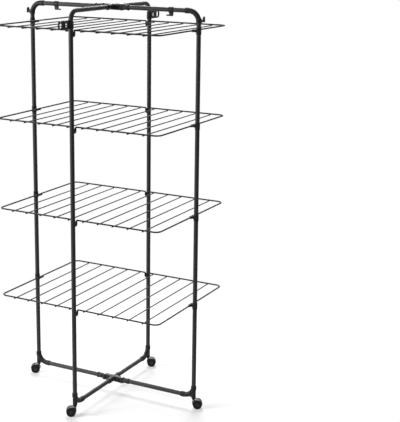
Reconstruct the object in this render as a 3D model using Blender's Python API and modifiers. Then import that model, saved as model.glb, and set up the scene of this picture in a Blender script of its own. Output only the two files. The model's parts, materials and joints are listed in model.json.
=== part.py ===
# Tower clothes airer: a centre frame and two side frames that fold against it, four tiers
# of wire wings that hinge on the centre frame, and four swivel castors.
# Metres, +Z up, origin on the floor under the middle of the tower.
# X runs along the side frames, Y along the centre frame.
import math

import bmesh
import bpy
from mathutils import Matrix, Vector

# Driving dimensions: the tower
TIER_COUNT = 4
TIER_SPACING = 0.390
LOWEST_TIER_HEIGHT = 0.473
TOP_BAR_RISE = 0.078
BASE_BAR_HEIGHT = 0.056
CENTRE_POST_REACH = 0.312
SIDE_POST_REACH = 0.409
HINGE_REACH = 0.045
TUBE_RADIUS = 0.0095
TUBE_WALL = 0.001
CENTRE_BEND_RADIUS = 0.040

# Driving dimensions: clearances and overruns
SEAT_GAP = 0.0003
RUNNING_GAP = 0.0008
CUT_OVERRUN = 0.004
UNION_SINK = 0.0004

# Driving dimensions: the wings
WIRES_PER_WING = 5
RAIL_RADIUS = 0.0032
WIRE_RADIUS = 0.0022
WIRE_END_STUB = 0.004
RAIL_TO_CENTRE_POST = 0.020
RAIL_TO_SIDE_POST = 0.018
WING_PIVOT_OFFSET = 0.005
WING_DROP = 0.015
WING_CORNER_RADIUS = 0.025
CRANK_BEND_RADIUS = 0.004
PIVOT_PIN_DEPTH = 0.0110

# Driving dimensions: elbows that join the posts to the bars
ELBOW_POST_LEG = 0.048
ELBOW_BAR_LEG = 0.062
ELBOW_BEND_RADIUS = 0.046
ELBOW_WALL = 0.0012
ELBOW_SOCKET_DEPTH = 0.010
ELBOW_COLLAR_LENGTH = 0.018
COLLAR_STEP = 0.0010
CASTOR_BOSS_RADIUS = 0.0062
CASTOR_BOSS_DROP = 0.0145
CASTOR_BOSS_RISE = 0.024
STEM_BORE_DEPTH = 0.022

# Driving dimensions: hinge hubs
HUB_SLEEVE_HALF_LENGTH = 0.042
HUB_WALL = 0.0031
HUB_HALF_HEIGHT = 0.0125
HUB_ARM_HALF_WIDTH = 0.009
CHEEK_RADIUS = 0.0115
CHEEK_THICKNESS = 0.003
KNUCKLE_RADIUS = 0.0098
HINGE_PIN_RADIUS = 0.003
PIN_HEAD_RADIUS = 0.0055
PIN_HEAD_HEIGHT = 0.0015
HINGE_SLEEVE_LENGTH = 0.023
HINGE_SOCKET_DEPTH = 0.017
HINGE_COLLAR_LENGTH = 0.005
HINGE_NECK_HALF_WIDTH = 0.008

# Driving dimensions: small fittings on the posts and bars
FITTING_WALL = 0.0020
BRACKET_RADIUS = 0.0115
BRACKET_WRAP = 0.002
CLIP_WALL = 0.0012
CLIP_HALF_LENGTH = 0.017
CLIP_BELOW = 0.0165
CLIP_ABOVE = 0.0115
CRADLE_WALL = 0.003
CRADLE_LIP = 0.004
GUSSET_HALF_WIDTH = 0.004
GUSSET_DEPTH = 0.0095
HOLDER_DROP = 0.053
HOLDER_LENGTH = 0.0855
HOLDER_HALF_HEIGHT = 0.017
HOLDER_HALF_THICKNESS = 0.002
HOLDER_RING_BELOW = 0.0175
HOLDER_RING_ABOVE = 0.0120
HOLDER_SLOT_HALF_HEIGHT = 0.0115
HOLDER_SLOT_HALF_WIDTH = 0.008
HOLDER_INNER_SLOT = 0.033
HOLDER_OUTER_SLOT = 0.071
HOLDER_NOSE_SHARE = 0.7
ELBOW_HOOK_LOW = 0.044
ELBOW_HOOK_HIGH = 0.020
ELBOW_HOOK_REACH = 0.025
ELBOW_HOOK_THICKNESS = 0.0045
ELBOW_HOOK_HALF_WIDTH = 0.009
ELBOW_HOOK_STUB_HEIGHT = 0.010
ELBOW_HOOK_STUB_HALF_WIDTH = 0.006
BAR_HOOK_FROM_POST = 0.128
BAR_HOOK_HALF_WIDTH = 0.010
BAR_HOOK_HALF_THICKNESS = 0.004
BAR_HOOK_DEPTH = 0.026
BAR_HOOK_FOOT = 0.010
BAR_HOOK_FOOT_THICKNESS = 0.005
BAR_HOOK_SHOULDER_SHARE = 0.9
BAR_HOOK_HEEL_SHARE = 0.6
BAR_HOOK_WAIST_SHARE = 0.5

# Driving dimensions: castors
AXLE_HEIGHT = 0.020
CASTOR_TRAIL = 0.0165
CASTOR_REST_ANGLE = math.radians(31)
WHEEL_WIDTH = 0.0105
WHEEL_EDGE = 0.0012
WHEEL_DISH = 0.001
HUB_CAP_SHARE = 0.45
AXLE_RADIUS = 0.0025
WEB_HALF_WIDTH = 0.004
HOOD_WALL = 0.0016
AXLE_BOSS_RADIUS = 0.0065
STEM_RADIUS = 0.004
STEM_FLANGE_RADIUS = 0.006
STEM_FLANGE_THICKNESS = 0.002

# Facet counts
TUBE_SIDES = 16
WHEEL_SIDES = 20
PIN_SIDES = 12
FITTING_SIDES = 16
ROD_RESOLUTION = 2
WIRE_SIDES = 6
ELBOW_RESOLUTION = 4
TUBE_RESOLUTION = 6
WING_CORNER_STEPS = 4
CRANK_STEPS = 2
ELBOW_STEPS = 5
BEND_STEPS = 6
HOOD_STEPS = 8
HOLDER_NOSE_STEPS = 6
SLOT_END_STEPS = 4
MERGE_DISTANCE = 0.00002

# Derived places and sizes
SOCKET_RADIUS = TUBE_RADIUS + SEAT_GAP
ELBOW_RADIUS = SOCKET_RADIUS + ELBOW_WALL
FITTING_RADIUS = SOCKET_RADIUS + FITTING_WALL
HUB_RADIUS = SOCKET_RADIUS + HUB_WALL
TOP_TIER_HEIGHT = LOWEST_TIER_HEIGHT + (TIER_COUNT - 1) * TIER_SPACING
TOP_BAR_HEIGHT = TOP_TIER_HEIGHT + TOP_BAR_RISE
LEAF_REACH = SIDE_POST_REACH - HINGE_REACH
OUTER_RAIL_X = SIDE_POST_REACH - RAIL_TO_SIDE_POST
WING_REACH = OUTER_RAIL_X - WING_PIVOT_OFFSET
WING_HALF_DEPTH = CENTRE_POST_REACH - RAIL_TO_CENTRE_POST
WIRE_SPACING = OUTER_RAIL_X / (WIRES_PER_WING + 0.5)
WHEEL_RADIUS = AXLE_HEIGHT / math.cos(math.pi / WHEEL_SIDES)
POST_TUBE_STOP = ELBOW_POST_LEG - ELBOW_SOCKET_DEPTH + SEAT_GAP
BAR_TUBE_STOP = ELBOW_BAR_LEG - ELBOW_SOCKET_DEPTH + SEAT_GAP
KNUCKLE_SPACE_RADIUS = CHEEK_RADIUS + RUNNING_GAP
KNUCKLE_HALF_HEIGHT = HUB_HALF_HEIGHT - CHEEK_THICKNESS - SEAT_GAP
HINGE_SLEEVE_START = CHEEK_RADIUS + RUNNING_GAP + CHEEK_THICKNESS / 2
HINGE_SLEEVE_END = HINGE_SLEEVE_START + HINGE_SLEEVE_LENGTH
HINGE_TUBE_START = HINGE_SLEEVE_END - HINGE_SOCKET_DEPTH + SEAT_GAP
HINGE_SLEEVE_RADIUS = SOCKET_RADIUS + FITTING_WALL - SEAT_GAP
WHEEL_INNER = WEB_HALF_WIDTH + RUNNING_GAP
WHEEL_OUTER = WHEEL_INNER + WHEEL_WIDTH
HOOD_INNER_RADIUS = WHEEL_RADIUS + RUNNING_GAP
HOOD_OUTER_RADIUS = HOOD_INNER_RADIUS + HOOD_WALL
STEM_TOP = BASE_BAR_HEIGHT - CASTOR_BOSS_DROP + STEM_BORE_DEPTH - SEAT_GAP
FLANGE_TOP = BASE_BAR_HEIGHT - CASTOR_BOSS_DROP - RUNNING_GAP

PART_COLLECTION = "tower_clothes_airer"
CUTTER_COLLECTION = "cutters"


def clear_scene():
    for item in list(bpy.data.objects):
        bpy.data.objects.remove(item, do_unlink=True)
    for group in list(bpy.data.collections):
        bpy.data.collections.remove(group)


def make_collection(name):
    group = bpy.data.collections.new(name)
    bpy.context.scene.collection.children.link(group)
    return group


def make_material(name, colour, roughness, metallic):
    made = bpy.data.materials.new(name)
    made.use_nodes = True
    shader = made.node_tree.nodes["Principled BSDF"]
    shader.inputs["Base Color"].default_value = (*colour, 1.0)
    shader.inputs["Roughness"].default_value = roughness
    shader.inputs["Metallic"].default_value = metallic
    return made


def scratch(name, data):
    """An object that only helps to shape another, hidden from the finished part."""
    item = bpy.data.objects.new(name, data)
    bpy.data.collections[CUTTER_COLLECTION].objects.link(item)
    item.hide_render = True
    item.display_type = "WIRE"
    return item


def finished_mesh(item, name):
    """The mesh of a scratch object with its modifiers applied and its caps welded."""
    bpy.context.view_layer.update()
    mesh = bpy.data.meshes.new_from_object(item.evaluated_get(bpy.context.evaluated_depsgraph_get()))
    mesh.name = name
    mesh.transform(item.matrix_world)
    body = bmesh.new()
    body.from_mesh(mesh)
    bmesh.ops.remove_doubles(body, verts=body.verts, dist=MERGE_DISTANCE)
    body.to_mesh(mesh)
    body.free()
    return mesh


def rod(name, points, radius, resolution):
    """A round rod through the points, with closed ends."""
    curve = bpy.data.curves.new(name, "CURVE")
    curve.dimensions = "3D"
    curve.bevel_depth = radius
    curve.bevel_resolution = resolution
    curve.use_fill_caps = True
    line = curve.splines.new("POLY")
    line.points.add(len(points) - 1)
    for knot, place in zip(line.points, points):
        knot.co = (*place, 1.0)
    item = scratch(name, curve)
    mesh = finished_mesh(item, name)
    bpy.data.objects.remove(item, do_unlink=True)
    return scratch(name, mesh)


def plate(name, outline, half_thickness):
    """A flat outline in X and Z, thickened along Y."""
    curve = bpy.data.curves.new(name, "CURVE")
    curve.dimensions = "2D"
    curve.fill_mode = "BOTH"
    curve.extrude = half_thickness
    line = curve.splines.new("POLY")
    line.points.add(len(outline) - 1)
    for knot, (across, up) in zip(line.points, outline):
        knot.co = (across, up, 0.0, 1.0)
    line.use_cyclic_u = True
    item = scratch(name, curve)
    item.rotation_euler = (math.radians(90), 0.0, 0.0)
    mesh = finished_mesh(item, name)
    bpy.data.objects.remove(item, do_unlink=True)
    return scratch(name, mesh)


def cylinder(name, radius, low, high, axis, centre, sides):
    """A solid cylinder from low to high along an axis, about a centre."""
    mesh = bpy.data.meshes.new(name)
    body = bmesh.new()
    bmesh.ops.create_cone(
        body, cap_ends=True, segments=sides, radius1=radius, radius2=radius, depth=high - low
    )
    turn = Vector((0.0, 0.0, 1.0)).rotation_difference(Vector(axis)).to_matrix().to_4x4()
    shift = Matrix.Translation(Vector(centre) + Vector(axis) * (low + high) / 2)
    bmesh.ops.transform(body, matrix=shift @ turn, verts=body.verts)
    body.to_mesh(mesh)
    body.free()
    return scratch(name, mesh)


def block(name, low, high, edge_radius=0.0):
    """A box between two corners, with its edges rounded if a radius is given."""
    mesh = bpy.data.meshes.new(name)
    body = bmesh.new()
    bmesh.ops.create_cube(body, size=1.0)
    size = Vector(high) - Vector(low)
    middle = (Vector(high) + Vector(low)) / 2
    matrix = Matrix.Translation(middle) @ Matrix.Diagonal((*size, 1.0))
    bmesh.ops.transform(body, matrix=matrix, verts=body.verts)
    body.to_mesh(mesh)
    body.free()
    item = scratch(name, mesh)
    if edge_radius:
        rounding = item.modifiers.new("rounded_edges", "BEVEL")
        rounding.width = edge_radius
        rounding.segments = 1
    return item


def turned(name, profile, sides, closed):
    """A profile of radius and height turned about Z. It runs down its outer side."""
    mesh = bpy.data.meshes.new(name)
    count = len(profile)
    edges = [(i, i + 1) for i in range(count - 1)] + ([(count - 1, 0)] if closed else [])
    mesh.from_pydata([(radius, 0.0, height) for radius, height in profile], edges, [])
    item = scratch(name, mesh)
    spin = item.modifiers.new("spin", "SCREW")
    spin.steps = sides
    spin.render_steps = sides
    spin.use_merge_vertices = True
    spin.merge_threshold = MERGE_DISTANCE
    made = finished_mesh(item, name)
    bpy.data.objects.remove(item, do_unlink=True)
    return scratch(name, made)


def combined(name, base, added=(), removed=()):
    """The base with some shapes united to it, and then others cut away from it."""
    for operation, others in (("UNION", added), ("DIFFERENCE", removed)):
        for other in others:
            step = base.modifiers.new(other.name, "BOOLEAN")
            step.operation = operation
            step.solver = "EXACT"
            step.object = other
    mesh = finished_mesh(base, name)
    for item in (base, *added, *removed):
        bpy.data.objects.remove(item, do_unlink=True)
    return mesh


def joined(name, items):
    """Several separate scratch shapes held in one object, so that one Boolean takes them all."""
    body = bmesh.new()
    for item in items:
        body.from_mesh(item.data)
        bpy.data.objects.remove(item, do_unlink=True)
    mesh = bpy.data.meshes.new(name)
    body.to_mesh(mesh)
    body.free()
    return scratch(name, mesh)


def rounded_path(corners, radii, steps):
    """A path of points with each inner corner turned into an arc of its own radius."""
    points = [Vector(corners[0])]
    for before, corner, after, radius, count in zip(
        corners, corners[1:], corners[2:], radii, steps
    ):
        corner = Vector(corner)
        back = (Vector(before) - corner).normalized()
        ahead = (Vector(after) - corner).normalized()
        half = back.angle(ahead) / 2
        centre = corner + (back + ahead).normalized() * radius / math.sin(half)
        first = corner + back * radius / math.tan(half) - centre
        last = corner + ahead * radius / math.tan(half) - centre
        turn = first.rotation_difference(last)
        axis, angle = turn.to_axis_angle()
        for i in range(count + 1):
            points.append(centre + Matrix.Rotation(angle * i / count, 3, axis) @ first)
    points.append(Vector(corners[-1]))
    return points


def empty(name, place, angle=0.0, parent=None):
    """A marker on a joint's axis that carries a moving body."""
    item = bpy.data.objects.new(name, None)
    bpy.data.collections[PART_COLLECTION].objects.link(item)
    item.location = place
    item.rotation_euler = (0.0, 0.0, angle)
    item.parent = parent
    return item


def put(name, mesh, material, place=(0.0, 0.0, 0.0), angle=0.0, parent=None):
    """One finished piece in its place, as a node of its own."""
    if not mesh.materials:
        mesh.materials.append(material)
        mesh.shade_smooth()
        mesh.set_sharp_from_angle(angle=math.radians(30))
    item = bpy.data.objects.new(name, mesh)
    bpy.data.collections[PART_COLLECTION].objects.link(item)
    item.location = place
    item.rotation_euler = (0.0, 0.0, angle)
    item.parent = parent
    return item


def straight_tube(name, length):
    """A straight length of tube, open at both ends, along Z from the origin."""
    inner = TUBE_RADIUS - TUBE_WALL
    ring = [(TUBE_RADIUS, length), (TUBE_RADIUS, 0.0), (inner, 0.0), (inner, length)]
    return turned(name, ring, TUBE_SIDES, True)


def bar_tube(name, start, length, axis):
    """A straight tube laid along a horizontal axis."""
    item = straight_tube(name, length)
    turn = Vector((0.0, 0.0, 1.0)).rotation_difference(Vector(axis)).to_matrix().to_4x4()
    item.matrix_world = Matrix.Translation(Vector(start)) @ turn
    return combined(name, item)


def bent_centre_tube():
    """The centre frame's inverted U: two posts and the top bar bent from one tube."""
    foot = BASE_BAR_HEIGHT + POST_TUBE_STOP
    y = CENTRE_POST_REACH
    corners = [(0.0, -y, foot), (0.0, -y, TOP_BAR_HEIGHT), (0.0, y, TOP_BAR_HEIGHT), (0.0, y, foot)]
    bends = [CENTRE_BEND_RADIUS] * 2
    outer = rounded_path(corners, bends, [BEND_STEPS] * 2)
    low = foot - CUT_OVERRUN
    corners = [(0.0, -y, low), *corners[1:3], (0.0, y, low)]
    inner = rounded_path(corners, bends, [BEND_STEPS] * 2)
    wall = rod("centre_tube_outside", outer, TUBE_RADIUS, TUBE_RESOLUTION)
    bore = rod("centre_tube_bore", inner, TUBE_RADIUS - TUBE_WALL, TUBE_RESOLUTION)
    return combined("centre_frame_tube", wall, removed=[bore])


def elbow(name, side, extra):
    """An elbow about the corner of a post and a bar. side is +1 where the post rises."""
    post_end = (0.0, 0.0, side * ELBOW_POST_LEG)
    bar_end = (-ELBOW_BAR_LEG, 0.0, 0.0)
    path = rounded_path([post_end, (0.0, 0.0, 0.0), bar_end], [ELBOW_BEND_RADIUS], [ELBOW_STEPS])
    body = rod(name + "_body", path, ELBOW_RADIUS, ELBOW_RESOLUTION)
    collar = ELBOW_RADIUS + COLLAR_STEP
    origin = (0.0, 0.0, 0.0)
    added = []
    removed = []
    for axis, leg in (((0.0, 0.0, side), ELBOW_POST_LEG), ((-1.0, 0.0, 0.0), ELBOW_BAR_LEG)):
        mouth = leg - ELBOW_COLLAR_LENGTH
        stop = leg - ELBOW_SOCKET_DEPTH
        past = leg + CUT_OVERRUN
        added.append(cylinder("collar", collar, mouth, leg, axis, origin, FITTING_SIDES))
        removed.append(cylinder("socket", SOCKET_RADIUS, stop, past, axis, origin, FITTING_SIDES))
    more_added, more_removed = extra()
    return combined(name, body, added + more_added, removed + more_removed)


def castor_boss():
    """The boss under a foot elbow, bored for the castor's stem."""
    down = (0.0, 0.0, -1.0)
    origin = (0.0, 0.0, 0.0)
    drop = CASTOR_BOSS_DROP
    boss = cylinder(
        "castor_boss", CASTOR_BOSS_RADIUS, -CASTOR_BOSS_RISE, drop, down, origin, FITTING_SIDES
    )
    bore_top = STEM_BORE_DEPTH - drop
    bore = cylinder(
        "stem_bore", STEM_RADIUS + SEAT_GAP, -bore_top, drop + CUT_OVERRUN, down, origin, PIN_SIDES
    )
    return [boss], [bore]


def elbow_hook():
    """The hook outside a top elbow: a stub, and a plate with a round top that stands on it."""
    low = -ELBOW_HOOK_LOW
    wide = ELBOW_HOOK_HALF_WIDTH
    narrow = ELBOW_HOOK_STUB_HALF_WIDTH
    reach = ELBOW_HOOK_REACH
    near = reach - ELBOW_HOOK_THICKNESS
    middle = -ELBOW_HOOK_HIGH - wide
    sunk = low + UNION_SINK
    stub = block("stub", (TUBE_RADIUS, -narrow, sunk), (near + UNION_SINK, narrow, low + ELBOW_HOOK_STUB_HEIGHT))
    plate_low = block("hook_plate", (near, -wide, low), (reach, wide, middle))
    along = (1.0, 0.0, 0.0)
    inner = near + UNION_SINK / 2
    outer = reach - UNION_SINK / 2
    top = cylinder("hook_top", wide, inner, outer, along, (0.0, 0.0, middle), FITTING_SIDES)
    return [stub, plate_low, top], []


def hinge_hub():
    """The yoke on the centre frame's bar, with a forked arm each way for a side frame."""
    origin = (0.0, 0.0, 0.0)
    along = (0.0, 1.0, 0.0)
    up = (0.0, 0.0, 1.0)
    half = HUB_SLEEVE_HALF_LENGTH
    high = HUB_HALF_HEIGHT
    width = HUB_ARM_HALF_WIDTH
    body = cylinder("hub_sleeve", HUB_RADIUS, -half, half, along, origin, FITTING_SIDES)
    added = [block("hub_arms", (-HINGE_REACH, -width, -high), (HINGE_REACH, width, high))]
    removed = []
    space = high - CHEEK_THICKNESS
    past = high + CUT_OVERRUN
    hole = HINGE_PIN_RADIUS + SEAT_GAP
    for side in (-1, 1):
        centre = (side * HINGE_REACH, 0.0, 0.0)
        added.append(cylinder("cheek", CHEEK_RADIUS, -high, high, up, centre, FITTING_SIDES))
        removed.append(
            cylinder("knuckle_space", KNUCKLE_SPACE_RADIUS, -space, space, up, centre, FITTING_SIDES)
        )
        removed.append(cylinder("pin_hole", hole, -past, past, up, centre, PIN_SIDES))
    long = half + CUT_OVERRUN
    removed.append(cylinder("bar_bore", SOCKET_RADIUS, -long, long, along, origin, FITTING_SIDES))
    return combined("hinge_hub", body, added, removed)


def hinge_pin():
    """The pin of a side frame's hinge, with a head above and below the cheeks."""
    seat = HUB_HALF_HEIGHT + SEAT_GAP
    end = seat + PIN_HEAD_HEIGHT
    profile = [
        (0.0, end),
        (PIN_HEAD_RADIUS, end),
        (PIN_HEAD_RADIUS, seat),
        (HINGE_PIN_RADIUS, seat),
        (HINGE_PIN_RADIUS, -seat),
        (PIN_HEAD_RADIUS, -seat),
        (PIN_HEAD_RADIUS, -end),
        (0.0, -end),
    ]
    return combined("hinge_pin", turned("hinge_pin", profile, PIN_SIDES, False))


def hinge_sleeve():
    """The side frame's half of the hinge: a knuckle, a neck and a socket for the bar."""
    origin = (0.0, 0.0, 0.0)
    along = (1.0, 0.0, 0.0)
    up = (0.0, 0.0, 1.0)
    high = KNUCKLE_HALF_HEIGHT
    width = HINGE_NECK_HALF_WIDTH
    start = HINGE_SLEEVE_START
    end = HINGE_SLEEVE_END
    body = cylinder("knuckle", KNUCKLE_RADIUS, -high, high, up, origin, FITTING_SIDES)
    low = high - UNION_SINK
    collar_start = end - HINGE_COLLAR_LENGTH
    added = [
        block("neck", (0.0, -width, -low), (start + HINGE_COLLAR_LENGTH, width, low)),
        cylinder("sleeve", HINGE_SLEEVE_RADIUS, start, end, along, origin, FITTING_SIDES),
        cylinder("collar", FITTING_RADIUS + COLLAR_STEP, collar_start, end, along, origin, FITTING_SIDES),
    ]
    stop = end - HINGE_SOCKET_DEPTH
    past = end + CUT_OVERRUN
    hole = HINGE_PIN_RADIUS + SEAT_GAP
    removed = [
        cylinder("socket", SOCKET_RADIUS, stop, past, along, origin, FITTING_SIDES),
        cylinder("pin_hole", hole, -high - CUT_OVERRUN, high + CUT_OVERRUN, up, origin, PIN_SIDES),
    ]
    return combined("hinge_sleeve", body, added, removed)


def wing():
    """A wing: one bent rail and the wires welded under it. Its pivot axis is Y at the origin."""
    y = WING_HALF_DEPTH
    tip = CENTRE_POST_REACH - PIVOT_PIN_DEPTH - SEAT_GAP
    corners = [(0.0, -tip, 0.0), (0.0, -y, 0.0), (0.0, -y, WING_DROP), (WING_REACH, -y, WING_DROP)]
    corners += [(x, -across, up) for x, across, up in reversed(corners)]
    radii = [CRANK_BEND_RADIUS, CRANK_BEND_RADIUS, WING_CORNER_RADIUS]
    steps = [CRANK_STEPS, CRANK_STEPS, WING_CORNER_STEPS]
    path = rounded_path(corners, radii + radii[::-1], steps + steps[::-1])
    rail = rod("rail", path, RAIL_RADIUS, ROD_RESOLUTION)
    wire_height = WING_DROP - RAIL_RADIUS - WIRE_RADIUS + UNION_SINK
    half = y + WIRE_END_STUB
    wires = []
    for i in range(WIRES_PER_WING):
        x = (i + 0.5) * WIRE_SPACING - WING_PIVOT_OFFSET
        centre = (x, 0.0, wire_height)
        wires.append(cylinder("wire", WIRE_RADIUS, -half, half, (0.0, 1.0, 0.0), centre, WIRE_SIDES))
    return combined("wing", rail, [joined("wires", wires)])


def pivot_bracket():
    """The round fitting inside a centre post, bored for the pivot pins of two wings."""
    face = RAIL_TO_CENTRE_POST - RAIL_RADIUS - RUNNING_GAP
    along = (0.0, 1.0, 0.0)
    up = (0.0, 0.0, 1.0)
    origin = (0.0, 0.0, 0.0)
    body = cylinder("disc", BRACKET_RADIUS, BRACKET_WRAP, face, along, origin, FITTING_SIDES)
    past = BRACKET_RADIUS + CUT_OVERRUN
    removed = [cylinder("post", SOCKET_RADIUS, -past, past, up, origin, FITTING_SIDES)]
    hole = RAIL_RADIUS + SEAT_GAP
    deep = PIVOT_PIN_DEPTH
    for side in (-1, 1):
        centre = (side * WING_PIVOT_OFFSET, 0.0, 0.0)
        removed.append(
            cylinder("pivot_hole", hole, deep, face + CUT_OVERRUN, along, centre, PIN_SIDES)
        )
    return combined("wing_pivot_bracket", body, removed=removed)


def rail_clip():
    """The clip on a side post: a ring round the post and a cradle under a wing's outer rail."""
    origin = (0.0, 0.0, 0.0)
    up = (0.0, 0.0, 1.0)
    along = (0.0, 1.0, 0.0)
    low = -CLIP_BELOW
    body = cylinder("ring", SOCKET_RADIUS + CLIP_WALL, low, CLIP_ABOVE, up, origin, FITTING_SIDES)
    groove = RAIL_RADIUS + SEAT_GAP
    rail_x = -RAIL_TO_SIDE_POST
    inner = rail_x - groove - CRADLE_WALL
    floor = -groove - CRADLE_WALL
    half = CLIP_HALF_LENGTH
    cradle = block("cradle", (inner, -half, floor), (rail_x + groove, half, CRADLE_LIP))
    root = -SOCKET_RADIUS - CLIP_WALL / 2
    sunk = floor + UNION_SINK
    outline = [(root, -GUSSET_DEPTH), (root, -groove), (rail_x, sunk), (inner + UNION_SINK, sunk)]
    gusset = plate("gusset", outline, GUSSET_HALF_WIDTH)
    past = half + CUT_OVERRUN
    centre = (rail_x, 0.0, 0.0)
    top = CRADLE_LIP + CUT_OVERRUN
    removed = [
        cylinder("rail_groove", groove, -past, past, along, centre, PIN_SIDES),
        block("rail_mouth", (rail_x - groove, -past, 0.0), (rail_x + groove, past, top)),
        cylinder("post", SOCKET_RADIUS, low - CUT_OVERRUN, CLIP_ABOVE + CUT_OVERRUN, up, origin, FITTING_SIDES),
    ]
    return combined("rail_clip", body, [cradle, gusset], removed)


def slot_outline(centre, half_width, half_height):
    """A slot standing upright with round ends."""
    points = []
    for end in (1, -1):
        for i in range(SLOT_END_STEPS + 1):
            angle = math.pi * i / SLOT_END_STEPS + (0.0 if end > 0 else math.pi)
            up = end * (half_height - half_width) + half_width * math.sin(angle)
            points.append((centre + half_width * math.cos(angle), up))
    return points


def hanger_holder():
    """The plate on a centre post with two slots for coat hangers."""
    half = HOLDER_HALF_HEIGHT
    nose = half * HOLDER_NOSE_SHARE
    outline = [(0.0, -half), (HOLDER_LENGTH - nose, -half)]
    for i in range(1, HOLDER_NOSE_STEPS):
        angle = math.pi * i / HOLDER_NOSE_STEPS - math.pi / 2
        outline.append((HOLDER_LENGTH - nose + nose * math.cos(angle), half * math.sin(angle)))
    outline += [(HOLDER_LENGTH - nose, half), (0.0, half)]
    origin = (0.0, 0.0, 0.0)
    up = (0.0, 0.0, 1.0)
    low = -HOLDER_RING_BELOW
    high = HOLDER_RING_ABOVE
    thick = HOLDER_HALF_THICKNESS
    body = cylinder("ring", FITTING_RADIUS, low, high, up, origin, FITTING_SIDES)
    past = half + CUT_OVERRUN
    removed = [cylinder("post", SOCKET_RADIUS, -past, past, up, origin, FITTING_SIDES)]
    for centre in (HOLDER_INNER_SLOT, HOLDER_OUTER_SLOT):
        slot = slot_outline(centre, HOLDER_SLOT_HALF_WIDTH, HOLDER_SLOT_HALF_HEIGHT)
        removed.append(plate("slot", slot, thick + CUT_OVERRUN))
    return combined("hanger_holder", body, [plate("holder_plate", outline, thick)], removed)


def bar_hook():
    """The hook that hangs from a side frame's top bar, its foot turned to the middle."""
    origin = (0.0, 0.0, 0.0)
    along = (1.0, 0.0, 0.0)
    wide = BAR_HOOK_HALF_WIDTH
    deep = -BAR_HOOK_DEPTH
    foot = deep + BAR_HOOK_FOOT_THICKNESS
    neck = -(SOCKET_RADIUS + FITTING_RADIUS) / 2
    shoulder = wide * BAR_HOOK_SHOULDER_SHARE
    outline = [
        (shoulder, neck),
        (wide * BAR_HOOK_HEEL_SHARE, deep),
        (-wide - BAR_HOOK_FOOT, deep),
        (-wide - BAR_HOOK_FOOT, foot),
        (-wide * BAR_HOOK_WAIST_SHARE, foot),
        (-shoulder, neck),
    ]
    hook = plate("hook", outline, BAR_HOOK_HALF_THICKNESS)
    body = cylinder("ring", FITTING_RADIUS, -wide, wide, along, origin, FITTING_SIDES)
    past = wide + CUT_OVERRUN
    bore = cylinder("bar", SOCKET_RADIUS, -past, past, along, origin, FITTING_SIDES)
    return combined("bar_hook", body, [hook], [bore])


def half_ring(radius, base):
    """An upper half circle about the axle, in X and Z, that starts at a base height."""
    points = []
    for i in range(HOOD_STEPS + 1):
        angle = math.pi * i / HOOD_STEPS
        across = CASTOR_TRAIL + radius * math.cos(angle)
        points.append((across, max(base, AXLE_HEIGHT + radius * math.sin(angle))))
    return points


def castor_hood():
    """The castor's body: hood, middle web, axle boss and stem, turning about Z at the origin."""
    axle = (CASTOR_TRAIL, 0.0, AXLE_HEIGHT)
    along = (0.0, 1.0, 0.0)
    up = (0.0, 0.0, 1.0)
    web = WEB_HALF_WIDTH
    middle_radius = (HOOD_INNER_RADIUS + HOOD_OUTER_RADIUS) / 2
    outer = half_ring(HOOD_OUTER_RADIUS, AXLE_HEIGHT)
    inner = half_ring(HOOD_INNER_RADIUS, AXLE_HEIGHT)
    hood = plate("hood", outer + inner[::-1], WHEEL_OUTER)
    flange_low = FLANGE_TOP - STEM_FLANGE_THICKNESS
    neck_high = flange_low + UNION_SINK
    narrow = web - UNION_SINK
    neck_low = AXLE_HEIGHT + AXLE_BOSS_RADIUS
    origin = (0.0, 0.0, 0.0)
    added = [
        plate("web", half_ring(middle_radius, AXLE_HEIGHT + UNION_SINK), web),
        block("neck", (-web, -narrow, neck_low), (CASTOR_TRAIL, narrow, neck_high)),
        cylinder("axle_boss", AXLE_BOSS_RADIUS, -web, web, along, axle, FITTING_SIDES),
        cylinder("flange", STEM_FLANGE_RADIUS, flange_low, FLANGE_TOP, up, origin, FITTING_SIDES),
        cylinder("stem", STEM_RADIUS, flange_low + UNION_SINK, STEM_TOP, up, origin, PIN_SIDES),
    ]
    past = web + CUT_OVERRUN
    bore = cylinder("axle_bore", AXLE_RADIUS + SEAT_GAP, -past, past, along, axle, PIN_SIDES)
    return combined("castor_hood", hood, added, [bore])


def castor_wheels():
    """The pair of wheels on their axle, which lies along Y through the origin."""
    cap = WHEEL_RADIUS * HUB_CAP_SHARE
    dish = WHEEL_OUTER - WHEEL_DISH
    half = [
        (0.0, WHEEL_OUTER),
        (cap, WHEEL_OUTER),
        (cap + WHEEL_DISH, dish),
        (WHEEL_RADIUS - WHEEL_EDGE, dish),
        (WHEEL_RADIUS, dish - WHEEL_EDGE),
        (WHEEL_RADIUS, WHEEL_INNER),
        (AXLE_RADIUS, WHEEL_INNER),
    ]
    profile = half + [(radius, -height) for radius, height in reversed(half)]
    item = turned("wheels", profile, WHEEL_SIDES, False)
    facet = Matrix.Rotation(math.pi / WHEEL_SIDES, 4, "Y")
    item.matrix_world = facet @ Matrix.Rotation(math.radians(-90), 4, "X")
    return combined("castor_wheels", item)


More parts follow.
